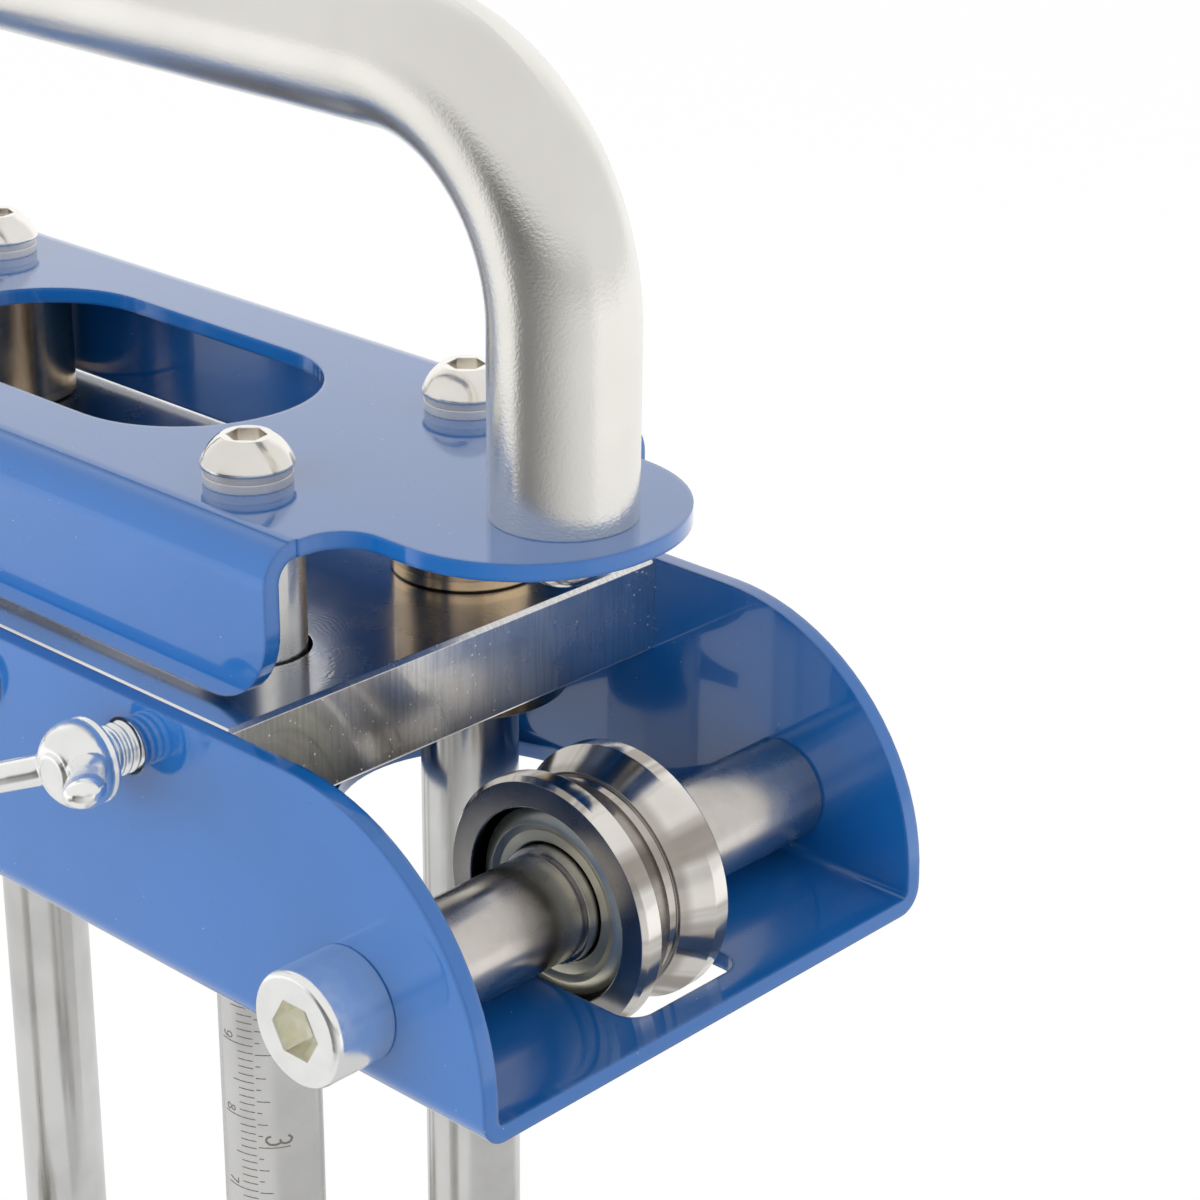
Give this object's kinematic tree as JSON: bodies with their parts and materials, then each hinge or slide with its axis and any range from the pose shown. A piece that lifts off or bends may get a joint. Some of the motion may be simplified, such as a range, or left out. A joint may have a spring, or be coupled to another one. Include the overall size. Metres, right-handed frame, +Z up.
{
  "type": "sheet metal edge bender",
  "caption": "Hand-held roller bender for sheet metal edges: rollers on rods pinch the sheet, and a locking carriage with grooved wheels sets the lip's width.",
  "frame": {"origin": "on the ground plane under the rollers, at the middle of the gap that the sheet goes through", "axes": "+X along the sheet's edge and the grip, +Y across the sheet away from the wing bolts, +Z up towards the grip"},
  "size_m": [0.2, 0.0985, 0.2308],
  "materials": {
    "cover_paint": "glossy blue powder paint",
    "channel_paint": "glossy blue powder paint",
    "handle_chrome": "satin grained chrome",
    "button_steel": "polished stainless",
    "spring_steel": "dark spring steel",
    "rod_steel": "hard chromed and frosted, with a scale",
    "guide_rod_steel": "ground and hard chromed",
    "roller_steel": "turned and ground",
    "bearing_steel": "ground bearing steel",
    "shield_zinc": "yellowish zinc plate",
    "block_nickel": "bright nickel plate, near mirror",
    "bush_bronze": "turned bronze, oiled",
    "wheel_steel": "ground bearing steel",
    "bolt_zinc": "bright zinc plate",
    "sleeve_steel": "turned bare steel"
  },
  "bodies": {
    "frame": {"top_cover": "cover_paint", "handle_bar": "handle_chrome", "handle_screws": "button_steel", "handle_washers": "button_steel", "handle_spring_washers": "spring_steel", "rod_screws": "button_steel", "rod_spring_washers": "spring_steel", "rod_washers": "button_steel", "scale_rod_right": "rod_steel", "scale_rod_left": "rod_steel", "guide_rod_right": "guide_rod_steel", "guide_rod_left": "guide_rod_steel", "roller_inner_rings": "bearing_steel", "roller_washers": "bolt_zinc", "roller_screws": "button_steel"},
    "carriage": {"carriage_block": "block_nickel", "carriage_channel": "channel_paint", "bush_right": "bush_bronze", "bush_left": "bush_bronze", "channel_screws": "button_steel", "axle_bolt_right": "bolt_zinc", "axle_bolt_left": "bolt_zinc", "axle_sleeves_right": "sleeve_steel", "axle_sleeves_left": "sleeve_steel", "axle_washers": "bolt_zinc", "axle_nuts": "bolt_zinc", "wheel_inner_ring_right": "bearing_steel", "wheel_inner_ring_left": "bearing_steel"},
    "wheel_right": {"groove_wheel_right": "wheel_steel", "wheel_shields_right": "shield_zinc"},
    "wing_right": {"wing_bolt_right": "bolt_zinc"},
    "wheel_left": {"groove_wheel_left": "wheel_steel", "wheel_shields_left": "shield_zinc"},
    "wing_left": {"wing_bolt_left": "bolt_zinc"},
    "front_roller_right": {"front_roller_right": "roller_steel", "front_bearing_right": "shield_zinc"},
    "front_roller_left": {"front_roller_left": "roller_steel", "front_bearing_left": "shield_zinc"},
    "back_roller_right": {"back_roller_right": "roller_steel", "back_bearing_right": "shield_zinc"},
    "back_roller_left": {"back_roller_left": "roller_steel", "back_bearing_left": "shield_zinc"}
  },
  "joints": [
    {"name": "carriage_slide", "type": "slide", "parent": "frame", "child": "carriage", "axis": [0, 0, 1], "range_m": [-0.1, 0]},
    {"name": "wheel_right_spin", "type": "hinge", "parent": "carriage", "child": "wheel_right", "pos_m": [0.0808, 0, 0.1337], "axis": [0, 1, 0], "continuous": true},
    {"name": "wing_right_turn", "type": "hinge", "parent": "carriage", "child": "wing_right", "pos_m": [0.045, -0.0398, 0.1511], "axis": [0, -1, 0], "range_deg": [0, 360]},
    {"name": "wheel_left_spin", "type": "hinge", "parent": "carriage", "child": "wheel_left", "pos_m": [-0.0808, 0, 0.1337], "axis": [0, 1, 0], "continuous": true},
    {"name": "wing_left_turn", "type": "hinge", "parent": "carriage", "child": "wing_left", "pos_m": [-0.045, -0.0398, 0.1511], "axis": [0, -1, 0], "range_deg": [0, 360]},
    {"name": "front_roller_right_spin", "type": "hinge", "parent": "frame", "child": "front_roller_right", "pos_m": [0.045, -0.01675, 0.006], "axis": [0, 0, 1], "continuous": true},
    {"name": "front_roller_left_spin", "type": "hinge", "parent": "frame", "child": "front_roller_left", "pos_m": [-0.045, -0.01675, 0.006], "axis": [0, 0, 1], "continuous": true},
    {"name": "back_roller_right_spin", "type": "hinge", "parent": "frame", "child": "back_roller_right", "pos_m": [0.045, 0.01675, 0.006], "axis": [0, 0, 1], "continuous": true},
    {"name": "back_roller_left_spin", "type": "hinge", "parent": "frame", "child": "back_roller_left", "pos_m": [-0.045, 0.01675, 0.006], "axis": [0, 0, 1], "continuous": true}
  ]
}
